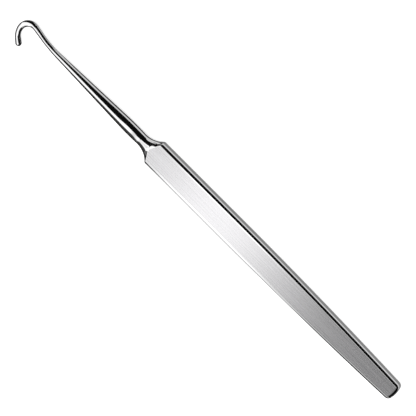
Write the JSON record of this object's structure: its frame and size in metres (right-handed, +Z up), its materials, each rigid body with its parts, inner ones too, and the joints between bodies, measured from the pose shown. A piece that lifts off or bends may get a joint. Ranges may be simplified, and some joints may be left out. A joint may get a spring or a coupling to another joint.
{
  "type": "surgical hook retractor",
  "caption": "Blunt hook hand retractor forged as a solid piece: flat satin handle with a rounded, tapered tail, flared shoulder, polished round shank, slight gooseneck and curled blunt hook.",
  "frame": {"origin": "centre of the handle's flat underside, between the shoulder and the end of the tail", "axes": "+X along the tool towards the hook, +Y across the handle on the side the hook curls to, +Z up out of the flat face"},
  "size_m": [0.1649, 0.0118, 0.0043],
  "materials": {
    "stainless_steel": "satin faces brushed along the handle, with mirror-polished edges, shank and hook"
  },
  "bodies": {
    "root": {"hook_retractor": "stainless_steel"}
  },
  "joints": []
}
